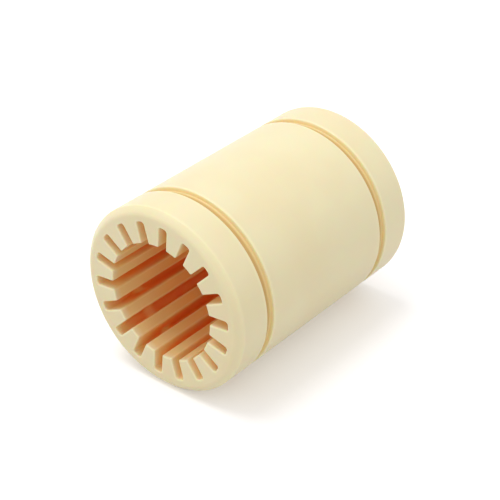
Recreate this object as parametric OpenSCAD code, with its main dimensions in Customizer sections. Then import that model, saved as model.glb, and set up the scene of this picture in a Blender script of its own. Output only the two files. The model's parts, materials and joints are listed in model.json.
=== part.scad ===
// Plain linear bearing for a round shaft, moulded in one piece.
// The bore is a ring of glide ribs with straight slots between them, open at both ends.
// The outside has a groove near each end, where a retaining ring snaps in.
// The bore lies along X, and the origin is the middle of the bore.

/* [Shaft] */
// Diameter of the shaft that the bearing runs on
shaft_d = 20; // [16:0.5:24]
// Running gap between the shaft and the rib tips, on the diameter
running_gap = 0.1; // [0.02:0.01:0.3]

/* [Body] */
// Outside diameter
body_d = 32; // [30:0.5:48]
// Length over the two end faces
body_l = 45; // [38:1:100]
// Chamfer round the outer edge of each end face
end_chamfer = 1; // [0.4:0.1:1.6]
// Wall between the slots and the outside
sleeve_wall = 2.3; // [1.6:0.1:3.4]
// Rounding of the outer edges, at the chamfers and the groove mouths
edge_r = 0.2; // [0.05:0.05:0.3]

/* [Ring grooves] */
// Distance over the two grooves, from outer wall to outer wall
groove_span = 31.5; // [16:0.5:34]
// Width of each groove
groove_w = 1.6; // [1:0.1:2.4]
// Depth of each groove below the outside
groove_depth = 0.75; // [0.4:0.05:1.2]

/* [Ribs] */
// Number of glide ribs, with a slot after each one
rib_count = 18; // [8:1:22]
// Width of each slot
slot_w = 1.6; // [1.2:0.1:2]
// Rounding of the two corners at the root of a slot
slot_corner_r = 0.5; // [0.1:0.05:0.55]
// Bevel at both ends of each rib tip
tip_bevel = 0.15; // [0.05:0.05:0.5]
// Turn of the rib pattern about the bore, from the +Y side
rib_turn = 4.4; // [0:0.1:20]

/* [Hidden] */
$fn = 120;
cream = [0.93, 0.87, 0.72];
// Steps in the arc of a rounded edge
edge_steps = 4;
// Overshoot of a cut past the face that it opens
cut_over = 1;

body_r = body_d / 2;
bore_r = (shaft_d + running_gap) / 2;
slot_start_r = bore_r - cut_over;
slot_root_r = body_r - sleeve_wall;
slot_corner_x = slot_root_r - slot_corner_r;
groove_r = body_r - groove_depth;
rib_pitch = 360 / rib_count;
end_x = body_l / 2;
groove_out_x = groove_span / 2;
groove_in_x = groove_out_x - groove_w;

// A vector drawn out or in to a length of one
function unit(v) = v / norm(v);

// Arc that rounds the corner b on the way from a to c
function rounded(a, b, c, r) =
    let (
        to_a = unit(a - b),
        to_c = unit(c - b),
        half = acos(to_a * to_c) / 2,
        centre = b + unit(to_a + to_c) * r / sin(half),
        from = b + to_a * r / tan(half) - centre,
        to = b + to_c * r / tan(half) - centre,
        sweep = 180 - 2 * half
    )
    [for (i = [0 : edge_steps])
        let (t = i * sweep / edge_steps)
        centre + (from * sin(sweep - t) + to * sin(t)) / sin(sweep)];

// Outside of one half of the bearing as [radius, place along the bore], from the middle to the end face
chamfer_out = [body_r, end_x - end_chamfer];
chamfer_in = [body_r - end_chamfer, end_x];
mouth_in = [body_r, groove_in_x];
mouth_out = [body_r, groove_out_x];
floor_in = [groove_r, groove_in_x];
floor_out = [groove_r, groove_out_x];
half_outline = concat(
    rounded([body_r, 0], mouth_in, floor_in, edge_r),
    [floor_in, floor_out],
    rounded(floor_out, mouth_out, chamfer_out, edge_r),
    rounded(mouth_out, chamfer_out, chamfer_in, edge_r),
    rounded(chamfer_out, chamfer_in, [0, end_x], edge_r)
);
count = len(half_outline);
far_half_outline = [for (i = [count - 1 : -1 : 0]) [half_outline[i][0], -half_outline[i][1]]];

// Sleeve without its bore: both chamfers and both ring grooves
module sleeve_blank() {
    rotate_extrude()
        polygon(concat([[0, -end_x]], far_half_outline, half_outline, [[0, end_x]]));
}

// Bore on the rib tips, with a small bevel where the shaft goes in
module shaft_bore() {
    cylinder(h = body_l + 2 * cut_over, r = bore_r, center = true);
    for (end_turn = [0, 180])
        rotate([end_turn, 0, 0])
            translate([0, 0, end_x - tip_bevel])
                cylinder(h = tip_bevel + cut_over, r1 = bore_r, r2 = bore_r + tip_bevel + cut_over);
}

// Outline of one slot, from inside the bore to its rounded root
module slot_outline() {
    translate([slot_start_r, -slot_w / 2])
        square([slot_corner_x - slot_start_r, slot_w]);
    translate([slot_start_r, slot_corner_r - slot_w / 2])
        square([slot_root_r - slot_start_r, slot_w - 2 * slot_corner_r]);
    for (side = [-1, 1])
        translate([slot_corner_x, side * (slot_w / 2 - slot_corner_r)])
            circle(r = slot_corner_r, $fn = 32);
}

// Every slot, cut through both end faces
module slots() {
    for (i = [0 : rib_count - 1])
        rotate(rib_turn + (i + 0.5) * rib_pitch)
            linear_extrude(height = body_l + 2 * cut_over, center = true)
                slot_outline();
}

// The whole moulding, with the bore laid along X
module bearing_body() {
    color(cream)
        rotate([90, 0, 90])
            difference() {
                sleeve_blank();
                shaft_bore();
                slots();
            }
}

bearing_body();
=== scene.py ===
import json
import math
import bpy
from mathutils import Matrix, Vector


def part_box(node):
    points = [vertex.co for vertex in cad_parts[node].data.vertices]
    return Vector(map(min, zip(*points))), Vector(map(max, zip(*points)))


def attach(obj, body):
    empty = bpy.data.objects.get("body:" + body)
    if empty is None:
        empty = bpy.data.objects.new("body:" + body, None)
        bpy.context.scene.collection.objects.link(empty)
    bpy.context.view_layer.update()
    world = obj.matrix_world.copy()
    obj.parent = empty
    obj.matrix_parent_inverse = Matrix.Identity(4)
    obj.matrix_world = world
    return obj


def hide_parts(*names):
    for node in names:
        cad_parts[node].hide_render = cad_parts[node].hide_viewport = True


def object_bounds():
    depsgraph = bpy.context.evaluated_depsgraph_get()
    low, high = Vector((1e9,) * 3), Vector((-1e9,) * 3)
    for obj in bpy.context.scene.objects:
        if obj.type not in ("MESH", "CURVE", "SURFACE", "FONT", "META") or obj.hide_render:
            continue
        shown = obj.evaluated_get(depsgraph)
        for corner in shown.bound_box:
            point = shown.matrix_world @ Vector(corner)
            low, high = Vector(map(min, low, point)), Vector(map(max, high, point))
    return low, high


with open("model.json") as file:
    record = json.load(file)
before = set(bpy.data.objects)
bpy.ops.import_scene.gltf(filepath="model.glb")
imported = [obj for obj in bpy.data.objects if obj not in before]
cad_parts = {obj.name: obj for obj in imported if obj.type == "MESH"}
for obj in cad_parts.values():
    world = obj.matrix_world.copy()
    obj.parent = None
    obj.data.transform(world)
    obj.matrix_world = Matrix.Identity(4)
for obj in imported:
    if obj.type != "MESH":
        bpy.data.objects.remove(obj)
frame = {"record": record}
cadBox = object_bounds()
record = frame["record"]
mm = 0.001
white = (1.0, 1.0, 1.0, 1.0)


def inMillimetres(box):
    return [[round(value / mm, 2) for value in corner] for corner in box]


print("frame loaded, box in mm:", inMillimetres(cadBox))


# An output socket that can be used in sums and products
class Signal:
    def __init__(self, maker, socket):
        self.maker = maker
        self.socket = socket

    def other(self, name):
        return Signal(self.maker, self.socket.node.outputs[name])

    def __add__(self, value):
        return self.maker.maths("ADD", self, value)

    def __sub__(self, value):
        return self.maker.maths("SUBTRACT", self, value)

    def __rsub__(self, value):
        return self.maker.maths("SUBTRACT", value, self)

    def __mul__(self, value):
        return self.maker.maths("MULTIPLY", self, value)

    def __truediv__(self, value):
        return self.maker.maths("DIVIDE", self, value)

    def __rtruediv__(self, value):
        return self.maker.maths("DIVIDE", value, self)

    def __pow__(self, value):
        return self.maker.maths("POWER", self, value)

    def __abs__(self):
        return self.maker.maths("ABSOLUTE", self)

    __radd__ = __add__
    __rmul__ = __mul__


# Adds nodes to one tree: the settings are set first, then the values or links of the sockets
class NodeMaker:
    def __init__(self, tree):
        self.tree = tree

    def add(self, kind, settings=None, sockets=None, output=0):
        node = self.tree.nodes.new(kind)
        for key, value in (settings or {}).items():
            setattr(node, key, value)
        for key, value in (sockets or {}).items():
            if isinstance(value, Signal):
                self.tree.links.new(value.socket, node.inputs[key])
            else:
                node.inputs[key].default_value = value
        return Signal(self, node.outputs[output] if len(node.outputs) else None)

    def maths(self, operation, first, second=0.0):
        return self.add("ShaderNodeMath", {"operation": operation}, {0: first, 1: second})

    # Runs smoothly from 0 at the start of a span to 1 at its end, with the span counted from base
    def ease(self, value, span, base=0.0):
        sockets = {"Value": value, "From Min": base + span[0], "From Max": base + span[1]}
        return self.add("ShaderNodeMapRange", {"interpolation_type": "SMOOTHSTEP"}, sockets)

    # The Mix node has a set of sockets for each kind of value, and 6, 7 and output 2 are the colours
    def mixColour(self, factor, first, second):
        return self.add("ShaderNodeMix", {"data_type": "RGBA"}, {0: factor, 6: first, 7: second}, output=2)

    # 1 for rays that show the surroundings: straight from the camera, or by way of gloss or clear material
    def seenDirectly(self):
        paths = self.add("ShaderNodeLightPath", output="Is Camera Ray")
        total = paths + paths.other("Is Glossy Ray") + paths.other("Is Transmission Ray")
        return self.maths("MINIMUM", total, 1.0)


def newMaterial(name):
    material = bpy.data.materials.new(name)
    material.use_nodes = True
    material.node_tree.nodes.clear()
    return material, NodeMaker(material.node_tree)


# A screen colour, from 0 to 255 in each channel, as the linear colour that the nodes take
def linear(red, green, blue):
    def channel(value):
        part = value / 255
        return part / 12.92 if part <= 0.04045 else ((part + 0.055) / 1.055) ** 2.4
    return (channel(red), channel(green), channel(blue), 1.0)


bearing = {
    "ribCount": 18,
    "ribTurn": 4.4,  # degrees from +Y to the middle of a rib
    # all in mm from here to the join distance
    "slotWidth": 1.6,
    "slotWall": 2.3,  # between the slots and the outside
    "slotCorner": 0.5,  # rounding at the root of a slot
    "tipEdge": 0.2,  # rounding of the long edges of a rib tip
    "mouthEdge": 0.18,  # rounding of the whole bore outline at the end faces
    "grooveSpan": 31.5,  # over the two ring grooves, from outer wall to outer wall
    "grooveWidth": 1.6,
    "grooveDepth": 0.75,
    "lipEdge": 0.2,  # rounding of the lips of a ring groove
    "floorEdge": 0.12,  # rounding in the corners of its floor
    "chamfer": 1.0,
    "faceEdge": 1.0,  # rounding from the chamfer to the end face
    "backEdge": 0.3,  # rounding from the chamfer to the outside
    "supportInset": 0.2,  # from a rounded edge to the next row of points
    "rimFade": 0.45,  # how far the painted highlight of an outer edge runs out
    "joinDistance": 0.002,
    "rimEnds": 0.85,  # how strong the painted highlight is at both ends of a rounding, when its middle is 1
    "faceRim": 0.15,  # how strong the painted highlight is on the chamfer's two blunt edges
    "backRim": 0.7,
    # faces across each rounding
    "steps": {
        "tipEdge": 4,
        "slotCorner": 6,
        "mouthEdge": 4,
        "faceEdge": 6,
        "backEdge": 5,
        "lipEdge": 5,
        "floorEdge": 3,
    },
    # where the outside lies behind each stretch of the bore outline, as a share of half a pitch:
    # 1 is the middle of a rib and 0 the middle of a slot
    "fan": {
        "tip": (1.0, 0.8),
        "tipEdge": (0.8, 0.72),
        "wall": (0.72, 0.5),
        "corner": (0.5, 0.15),
        "root": (0.15, 0.0),
    },
}


# Sizes in mm that follow from the frame and the values above
def bearingSizes():
    low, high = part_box("bearing_body")
    mounts = {mount["name"]: mount for mount in record["mounts"]}
    radius = (high[2] - low[2]) / 2 / mm
    return {
        "radius": radius,
        "halfLength": (high[0] - low[0]) / 2 / mm,
        "boreRadius": mounts["shaft_bore"]["dims"]["r_mm"],
        "rootRadius": radius - bearing["slotWall"],
        "floorRadius": radius - bearing["grooveDepth"],
        "grooveMiddle": (bearing["grooveSpan"] - bearing["grooveWidth"]) / 2,
    }


# How far along a rounding each of its points lies, from 0 to 1
def evenShares(edge):
    steps = bearing["steps"][edge]
    return [step / steps for step in range(steps + 1)]


# How strong the painted highlight is at one point of a rounding
def highlightAt(share):
    ends = bearing["rimEnds"]
    return ends + (1 - ends) * math.sin(math.pi * share)


# Path of (point, painted highlight) through corners given as (point, name of the rounding, painted
# highlight)
# A corner whose name is None stays a plain point
def roundedPath(corners):
    path = []
    for index, (corner, edge, rim) in enumerate(corners):
        if edge is None:
            path.append((corner, 0.0))
            continue
        radius = bearing[edge]
        toLast = (corners[index - 1][0] - corner).normalized()
        toNext = (corners[index + 1][0] - corner).normalized()
        half = toLast.angle(toNext) / 2
        centre = corner + (toLast + toNext).normalized() * radius / math.sin(half)
        first = corner + toLast * radius / math.tan(half) - centre
        last = corner + toNext * radius / math.tan(half) - centre
        sweep = math.pi - 2 * half
        for share in evenShares(edge):
            turn = sweep * share
            arm = (first * math.sin(sweep - turn) + last * math.sin(turn)) / math.sin(sweep)
            path.append((centre + arm, rim * highlightAt(share)))
    return path


# The same path with a point a little way in from both ends of each straight longer than four insets
def withSupports(path, inset):
    dense = [path[0]]
    for before, after in zip(path, path[1:]):
        step = after[0] - before[0]
        if step.length > 4 * inset:
            reach = step.normalized() * inset
            dense += [(before[0] + reach, 0.0), (after[0] - reach, 0.0)]
        dense.append(after)
    return dense


# Half of one pitch of the bore, from the middle of a rib tip to the middle of the next slot's root
# Each point is (place, way in, way on past the tip edge's centre, outer angle in degrees, painted
# highlight)
def halfPitch(size):
    boreRadius, rootRadius = size["boreRadius"], size["rootRadius"]
    halfSlot = bearing["slotWidth"] / 2
    corner = bearing["slotCorner"]
    edge = bearing["tipEdge"]
    inset = bearing["supportInset"]
    halfTurn = 180 / bearing["ribCount"]
    edgeY = -(halfSlot + edge)
    edgeX = math.sqrt((boreRadius + edge) ** 2 - edgeY ** 2)
    tipEnd = math.degrees(math.atan2(edgeY, edgeX))
    tipLength = math.radians(halfTurn + tipEnd) * boreRadius
    rootX = rootRadius - corner
    edgeStart = math.radians(tipEnd + 180)
    tipOut = Vector((math.cos(edgeStart), math.sin(edgeStart)))
    wallOut = Vector((0, 1))
    mitre = -(tipOut + wallOut) / (1 + tipOut.dot(wallOut))
    points = []

    def onTip(share):
        turn = math.radians(-halfTurn + (halfTurn + tipEnd) * share)
        inward = (math.cos(turn), math.sin(turn))
        return (boreRadius * inward[0], boreRadius * inward[1]), inward

    def onTipEdge(share):
        turn = edgeStart + (math.pi / 2 - edgeStart) * share
        out = (math.cos(turn), math.sin(turn))
        return (edgeX + edge * out[0], edgeY + edge * out[1]), (-out[0], -out[1])

    def onWall(share):
        return (edgeX + (rootX - edgeX) * share, -halfSlot), (0, -1)

    def onCorner(share):
        turn = math.radians(-90 + 90 * share)
        out = (math.cos(turn), math.sin(turn))
        return (rootX + corner * out[0], corner - halfSlot + corner * out[1]), out

    def onRoot(share):
        return (rootRadius, (corner - halfSlot) * (1 - share)), (1, 0)

    def addStretch(name, spot, shares, onwards=None, hasHighlight=False):
        outerFrom, outerTo = (-halfTurn * part for part in bearing["fan"][name])
        for share in shares:
            place, inward = spot(share)
            inward = Vector(inward).normalized()
            outer = outerFrom + (outerTo - outerFrom) * share
            rim = highlightAt(share) if hasHighlight else 0.0
            points.append((Vector(place), inward, onwards or inward, outer, rim))

    addStretch("tip", onTip, [0, 0.5, 1 - inset / tipLength])
    addStretch("tipEdge", onTipEdge, evenShares("tipEdge"), mitre, hasHighlight=True)
    addStretch("wall", onWall, [inset / (rootX - edgeX), 0.5, 1])
    addStretch("corner", onCorner, evenShares("slotCorner")[1:])
    addStretch("root", onRoot, [0.5, 1])
    return points


# Rows through the bore wall at one point of the pitch, from the face at -X to the face at +X
# Each row is (depth into the plastic, x, painted highlight), and the two nearest the middle cut the length
# in three
def boreRows(halfLength):
    edge = bearing["mouthEdge"]
    inset = bearing["supportInset"]
    rows = [(edge + inset, halfLength, 0.0)]
    for share in evenShares("mouthEdge"):
        turn = math.pi / 2 * (1 - share)
        x = halfLength - edge + edge * math.sin(turn)
        rows.append((edge * (1 - math.cos(turn)), x, highlightAt(share)))
    rows += [(0.0, halfLength - edge - inset, 0.0), (0.0, halfLength / 3, 0.0)]
    return [(depth, -x, rim) for depth, x, rim in rows] + list(reversed(rows))


# Outside of the bearing as (radius, x, painted highlight), from the face at +X to the face at -X
def outsideRows(size):
    radius, floorRadius, halfLength = size["radius"], size["floorRadius"], size["halfLength"]
    chamfer = bearing["chamfer"]
    outer = bearing["grooveSpan"] / 2
    inner = outer - bearing["grooveWidth"]
    # What the rounding of its 45 degree corner takes off the flat end face
    cutBack = bearing["faceEdge"] * math.tan(math.pi / 8)
    start = radius - chamfer - cutBack - bearing["supportInset"]
    corners = [
        (Vector((start, halfLength)), None, 0.0),
        (Vector((radius - chamfer, halfLength)), "faceEdge", bearing["faceRim"]),
        (Vector((radius, halfLength - chamfer)), "backEdge", bearing["backRim"]),
        (Vector((radius, outer)), "lipEdge", 1.0),
        (Vector((floorRadius, outer)), "floorEdge", 0.0),
        (Vector((floorRadius, inner)), "floorEdge", 0.0),
        (Vector((radius, inner)), "lipEdge", 1.0),
        (Vector((radius, 0)), None, 0.0),
    ]
    path = withSupports(roundedPath(corners), bearing["rimFade"])
    half = [(point.x, point.y, rim) for point, rim in path]
    return half + [(rowRadius, -x, rim) for rowRadius, x, rim in reversed(half[:-1])]


# One pitch of the bearing, a slot with half a rib on both sides, as an open strip of the closed skin
def pitchMesh(size):
    flip = Vector((1, -1))
    outline = halfPitch(size)
    for place, inward, onwards, outer, rim in reversed(outline[:-1]):
        outline.append((place * flip, inward * flip, onwards * flip, -outer, rim))
    inner = boreRows(size["halfLength"])
    outside = outsideRows(size)
    rowCount = len(inner) + len(outside)
    vertices = []
    paintedHighlights = []
    for place, inward, onwards, outer, outlineHighlight in outline:
        for depth, x, rowHighlight in inner:
            toCentre = min(depth, bearing["tipEdge"])
            spot = place + inward * toCentre + onwards * (depth - toCentre)
            vertices.append((x * mm, spot.x * mm, spot.y * mm))
            paintedHighlights.append(rowHighlight if depth else max(rowHighlight, outlineHighlight))
        turn = math.radians(outer)
        for rowRadius, x, rowHighlight in outside:
            vertices.append((x * mm, rowRadius * math.cos(turn) * mm, rowRadius * math.sin(turn) * mm))
            paintedHighlights.append(rowHighlight)
    faces = []
    for here in range(0, len(vertices) - rowCount, rowCount):
        there = here + rowCount
        for row in range(rowCount):
            below = (row + 1) % rowCount
            faces.append((here + row, here + below, there + below, there + row))
    mesh = bpy.data.meshes.new("bearingPitch")
    mesh.from_pydata(vertices, [], faces)
    # Painted highlight along the rounded edges, which the material turns into a lighter colour
    mesh.attributes.new("rim", "FLOAT", "POINT").data.foreach_set("value", paintedHighlights)
    mesh.update()
    return mesh


# Geometry Nodes tree that sets a pitch round the bore, joins the copies and gives them their material
def ringTree():
    tree = bpy.data.node_groups.new("ringOfPitches", "GeometryNodeTree")
    sockets = {}
    for name, kind, way in (
        ("Pitch", "NodeSocketGeometry", "INPUT"),
        ("Count", "NodeSocketInt", "INPUT"),
        ("Turn", "NodeSocketFloat", "INPUT"),
        ("Join Distance", "NodeSocketFloat", "INPUT"),
        ("Material", "NodeSocketMaterial", "INPUT"),
        ("Ring", "NodeSocketGeometry", "OUTPUT"),
    ):
        sockets[name] = tree.interface.new_socket(name=name, in_out=way, socket_type=kind).identifier
    maker = NodeMaker(tree)
    pitch = maker.add("NodeGroupInput", output="Pitch")
    points = maker.add("GeometryNodePoints", sockets={"Count": pitch.other("Count")})
    index = maker.add("GeometryNodeInputIndex")
    step = 2 * math.pi / pitch.other("Count")
    turn = maker.add("ShaderNodeCombineXYZ", sockets={"X": index * step + pitch.other("Turn")})
    copies = maker.add("GeometryNodeInstanceOnPoints", sockets={
        "Points": points, "Instance": pitch, "Rotation": turn})
    real = maker.add("GeometryNodeRealizeInstances", sockets={"Geometry": copies})
    joined = maker.add("GeometryNodeMergeByDistance", sockets={
        "Geometry": real, "Distance": pitch.other("Join Distance")})
    smooth = maker.add("GeometryNodeSetShadeSmooth", sockets={"Geometry": joined, "Shade Smooth": True})
    painted = maker.add("GeometryNodeSetMaterial", sockets={
        "Geometry": smooth, "Material": pitch.other("Material")})
    maker.add("NodeGroupOutput", sockets={"Ring": painted})
    return tree, sockets


# The evaluated object as a plain mesh at the origin, without its modifiers
def asPlainMesh(source, name):
    graph = bpy.context.evaluated_depsgraph_get()
    mesh = bpy.data.meshes.new_from_object(source.evaluated_get(graph))
    mesh.name = name
    plain = bpy.data.objects.new(name, mesh)
    bpy.context.collection.objects.link(plain)
    bpy.data.objects.remove(source)
    return plain


plastic = {
    "cream": linear(245, 231, 187),
    "palerCream": linear(247, 235, 193),
    "rimColour": linear(255, 242, 197),  # painted highlight along every rounded edge
    "boreRim": linear(255, 225, 164),  # the same painted highlight inside the bore
    # painted shade in the ring grooves, lighter on the walls than on the floor
    "grooveWall": linear(250, 228, 170),
    "grooveFloor": linear(214, 176, 108),
    "honey": linear(244, 216, 150),  # just inside the mouth of the bore, where the painted shade in the bore begins
    "amber": linear(243, 194, 112),  # rib faces, deep in the bore, with painted shade and painted light through the wall
    "orange": linear(252, 181, 94),  # slots, deep in the bore, where the light has come through the wall
    "thinWall": linear(255, 226, 150),  # painted light through the thinner wall, at the roots of the slots under the ring grooves
    # how far the painted highlight goes towards its colour
    "rimShare": 0.9,
    "rimFading": 0.25,  # lost from that share in the bore
    "roughness": 0.4,
    "roughnessSpread": 0.08,
    "rimPolish": 0.12,  # taken off the roughness along a rounded edge
    "boreRoughness": 0.25,  # added to it in the bore
    "refraction": 1.5,
    "scatterWeight": 0.35,
    "scatterRadius": (1.8, 0.5, 0.15),  # mm, by colour
    "cloudSize": 14.0,  # mm
    "grainSize": 0.25,  # mm
    "grainHeight": 0.003,  # mm
    "noiseDetail": 2.0,
    "cloudSpan": (0.35, 0.65),  # of the noise, from cream to the paler cream
    # spans in mm over which one colour passes into the next
    # these four count inwards from an end face
    "pastChamfer": (2.0, 2.5),
    "mouth": (0.1, 1.6),
    "ribWarming": (0.5, 18.0),
    "slotWarming": (0.5, 6.0),
    # this one counts outwards from the rib tips
    "ribToSlot": (0.2, 1.6),
    # these two count outwards from the slot roots
    "glowToRoot": (-2.0, -0.5),
    "boreToSkin": (0.1, 0.4),
    # this one counts along the bore, both ways from the middle of a ring groove
    "glowAlong": (0.3, 1.6),
    "floorMiddle": 0.1,  # half the width of the darkest painted shade on a groove floor
    "floorHeight": 0.3,  # how far up its walls a groove keeps its full painted shade
}


# Painted shade in a ring groove, darkest along the middle of its floor
def paintedGrooveShade(maker, offMiddle):
    nearWall = maker.ease(offMiddle, (plastic["floorMiddle"], bearing["grooveWidth"] / 2))
    return maker.mixColour(nearWall, plastic["grooveFloor"], plastic["grooveWall"])


# Painted shade and painted light through the wall: ribs and slots grow warmer away from the end faces, and
# the slot roots are lighter under the ring grooves
def boreGlowAndShade(maker, size, fromAxis, fromEnd, offMiddle):
    ribWarmth = maker.ease(fromEnd, plastic["ribWarming"])
    ribs = maker.mixColour(ribWarmth, plastic["honey"], plastic["amber"])
    slotWarmth = maker.ease(fromEnd, plastic["slotWarming"])
    slots = maker.mixColour(slotWarmth, plastic["honey"], plastic["orange"])
    nearRoot = maker.ease(fromAxis, plastic["glowToRoot"], size["rootRadius"])
    underGroove = 1 - maker.ease(offMiddle, plastic["glowAlong"])
    slots = maker.mixColour(underGroove * nearRoot, slots, plastic["thinWall"])
    return maker.mixColour(maker.ease(fromAxis, plastic["ribToSlot"], size["boreRadius"]), ribs, slots)


def bearingPlastic(size):
    material, maker = newMaterial("bearingPlastic")
    place = maker.add("ShaderNodeTexCoord", output="Object")
    axes = maker.add("ShaderNodeSeparateXYZ", sockets={0: place}, output="X")
    fromAxis = (axes.other("Y") ** 2.0 + axes.other("Z") ** 2.0) ** 0.5 / mm
    along = abs(axes) / mm
    fromEnd = size["halfLength"] - along
    offMiddle = abs(along - size["grooveMiddle"])

    def noise(width):
        return maker.add("ShaderNodeTexNoise", sockets={
            "Vector": place, "Scale": 1 / (width * mm), "Detail": plastic["noiseDetail"]})

    cloud = noise(plastic["cloudSize"])
    rim = maker.add("ShaderNodeAttribute", {"attribute_name": "rim"}, output="Fac")
    skin = maker.mixColour(maker.ease(cloud, plastic["cloudSpan"]), plastic["cream"], plastic["palerCream"])
    # Painted shade in the ring grooves, from a little past the chamfer
    overFloor = maker.ease(fromAxis, (plastic["floorHeight"], bearing["grooveDepth"]), size["floorRadius"])
    grooveShadeShare = (1 - overFloor) * maker.ease(fromEnd, plastic["pastChamfer"])
    skin = maker.mixColour(grooveShadeShare, skin, paintedGrooveShade(maker, offMiddle))
    # Painted shade and painted light through the wall in the bore
    pastRoots = maker.ease(fromAxis, plastic["boreToSkin"], size["rootRadius"])
    inBore = (1 - pastRoots) * maker.ease(fromEnd, plastic["mouth"])
    colour = maker.mixColour(inBore, skin, boreGlowAndShade(maker, size, fromAxis, fromEnd, offMiddle))
    # Painted highlight along the rounded edges, weaker in the bore
    rimColour = maker.mixColour(inBore, plastic["rimColour"], plastic["boreRim"])
    rimShare = plastic["rimShare"] - inBore * plastic["rimFading"]
    roughness = plastic["roughness"] + (cloud - 0.5) * plastic["roughnessSpread"]
    bump = maker.add("ShaderNodeBump", sockets={
        "Height": noise(plastic["grainSize"]), "Distance": plastic["grainHeight"] * mm, "Strength": 1.0})
    shader = maker.add("ShaderNodeBsdfPrincipled", {"subsurface_method": "RANDOM_WALK"}, {
        "Base Color": maker.mixColour(rim * rimShare, colour, rimColour),
        "Roughness": roughness + inBore * plastic["boreRoughness"] - rim * plastic["rimPolish"],
        "Subsurface Weight": plastic["scatterWeight"],
        "Subsurface Radius": plastic["scatterRadius"],
        "Subsurface Scale": mm,
        "IOR": plastic["refraction"],
        "Normal": bump,
    })
    maker.add("ShaderNodeOutputMaterial", sockets={"Surface": shader})
    return material


def makeBearing():
    size = bearingSizes()
    source = bpy.data.objects.new("pitchSource", pitchMesh(size))
    bpy.context.collection.objects.link(source)
    tree, sockets = ringTree()
    modifier = source.modifiers.new("ring", "NODES")
    modifier.node_group = tree
    modifier[sockets["Count"]] = bearing["ribCount"]
    modifier[sockets["Turn"]] = math.radians(bearing["ribTurn"] + 180 / bearing["ribCount"])
    modifier[sockets["Join Distance"]] = bearing["joinDistance"] * mm
    modifier[sockets["Material"]] = bearingPlastic(size)
    moulding = asPlainMesh(source, "bearingMoulding")
    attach(moulding, "root")
    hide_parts("bearing_body")
    print("bearing made,", len(moulding.data.polygons), "faces")


shot = {
    "heading": 39.0,  # degrees from the bore to the line of sight, seen from above
    "elevation": 32.0,
    "distance": 243.5,  # mm to the middle of the bearing
    "aimRight": -0.2,  # mm from the middle of the bearing
    "aimUp": -1.1,
    "lens": 106.2,  # mm
    "sensor": 36.0,  # mm
    "clipStart": 10.0,  # mm
}


# Directions as the camera looks: ahead and right are level, and sight and up tilt with it
def viewAxes():
    heading = math.radians(shot["heading"])
    drop = math.radians(shot["elevation"])
    ahead = Vector((math.cos(heading), math.sin(heading), 0))
    right = Vector((math.sin(heading), -math.cos(heading), 0))
    sight = ahead * math.cos(drop) - Vector((0, 0, math.sin(drop)))
    return {"ahead": ahead, "right": right, "sight": sight, "up": right.cross(sight)}


def makeCamera():
    axes = viewAxes()
    aim = (axes["right"] * shot["aimRight"] + axes["up"] * shot["aimUp"]) * mm
    data = bpy.data.cameras.new("camera")
    data.lens = shot["lens"]
    data.sensor_width = shot["sensor"]
    data.clip_start = shot["clipStart"] * mm
    camera = bpy.data.objects.new("camera", data)
    camera.location = aim - axes["sight"] * shot["distance"] * mm
    camera.rotation_euler = axes["sight"].to_track_quat("-Z", "Y").to_euler()
    bpy.context.collection.objects.link(camera)
    bpy.context.scene.camera = camera
    print("camera at", [round(value / mm) for value in camera.location])


studio = {
    "lampPlace": (-0.23, 0.07, 0.84),  # m to the right, ahead and up, as the camera looks
    "lampSize": 0.5,  # m
    "lampPower": 2.65,  # W
    "floorSize": 6.0,  # m
    "floorColour": (0.66, 0.65, 0.64, 1.0),  # by which it lights the bearing
    "floorSeen": (0.98, 0.966, 0.985, 1.0),  # in the picture and in gloss
    "floorGlow": 0.23,  # there too, up to white where no shadow falls
    "farGlow": 0.05,  # added towards the horizon, out of the lamp's reach
    "lampReach": (0.2, 1.5),  # m from the bearing
    "worldStrength": 0.75,  # of its light on the bearing
    "diffuseBounces": 12,  # the slots are lit from wall to wall, and go dull with fewer
}


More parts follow.
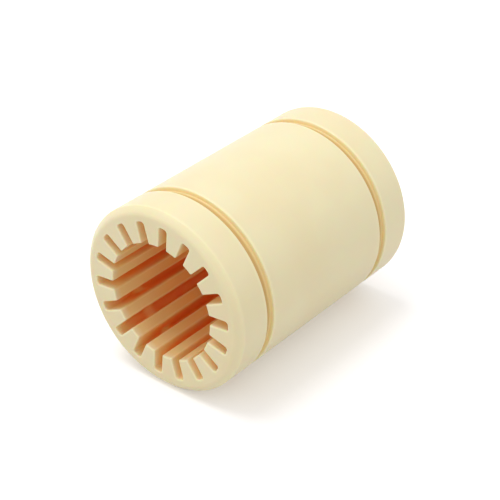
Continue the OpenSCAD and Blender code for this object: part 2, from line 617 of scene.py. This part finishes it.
def makeLamp():
    axes = viewAxes()
    right, ahead, up = studio["lampPlace"]
    data = bpy.data.lights.new("keyLamp", "AREA")
    data.shape = "DISK"
    data.size = studio["lampSize"]
    data.energy = studio["lampPower"]
    lamp = bpy.data.objects.new("keyLamp", data)
    lamp.location = axes["right"] * right + axes["ahead"] * ahead + Vector((0, 0, up))
    lamp.rotation_euler = (-lamp.location).to_track_quat("-Z", "Y").to_euler()
    bpy.context.collection.objects.link(lamp)
    print("lamp made")


def paperFloor():
    material, maker = newMaterial("paperFloor")
    seen = maker.seenDirectly()
    paper = maker.mixColour(seen, studio["floorColour"], studio["floorSeen"])
    matt = maker.add("ShaderNodeBsdfDiffuse", sockets={"Color": paper})
    place = maker.add("ShaderNodeTexCoord", output="Object")
    reach = maker.add("ShaderNodeVectorMath", {"operation": "LENGTH"}, {0: place}, output="Value")
    level = maker.ease(reach, studio["lampReach"]) * studio["farGlow"] + studio["floorGlow"]
    glow = maker.add("ShaderNodeEmission", sockets={"Color": white, "Strength": seen * level})
    both = maker.add("ShaderNodeAddShader", sockets={0: matt, 1: glow})
    maker.add("ShaderNodeOutputMaterial", sockets={"Surface": both})
    return material


def makeFloor(height):
    half = studio["floorSize"] / 2
    corners = [(-half, -half, height), (half, -half, height), (half, half, height), (-half, half, height)]
    mesh = bpy.data.meshes.new("floor")
    mesh.from_pydata(corners, [], [(0, 1, 2, 3)])
    mesh.materials.append(paperFloor())
    floor = bpy.data.objects.new("floor", mesh)
    bpy.context.collection.objects.link(floor)
    print("floor made")


# An even white world, seen at full white and giving less light than that
def makeWorld():
    world = bpy.data.worlds.new("studioWorld")
    world.use_nodes = True
    world.node_tree.nodes.clear()
    maker = NodeMaker(world.node_tree)
    strength = studio["worldStrength"]
    level = maker.seenDirectly() * (1 - strength) + strength
    sky = maker.add("ShaderNodeBackground", sockets={"Color": white, "Strength": level})
    maker.add("ShaderNodeOutputWorld", sockets={"Surface": sky})
    bpy.context.scene.world = world
    print("world made")


makeBearing()
makeCamera()
makeLamp()
makeFloor(cadBox[0][2])
makeWorld()
bpy.context.scene.cycles.diffuse_bounces = studio["diffuseBounces"]
bpy.context.scene.view_settings.view_transform = "Standard"
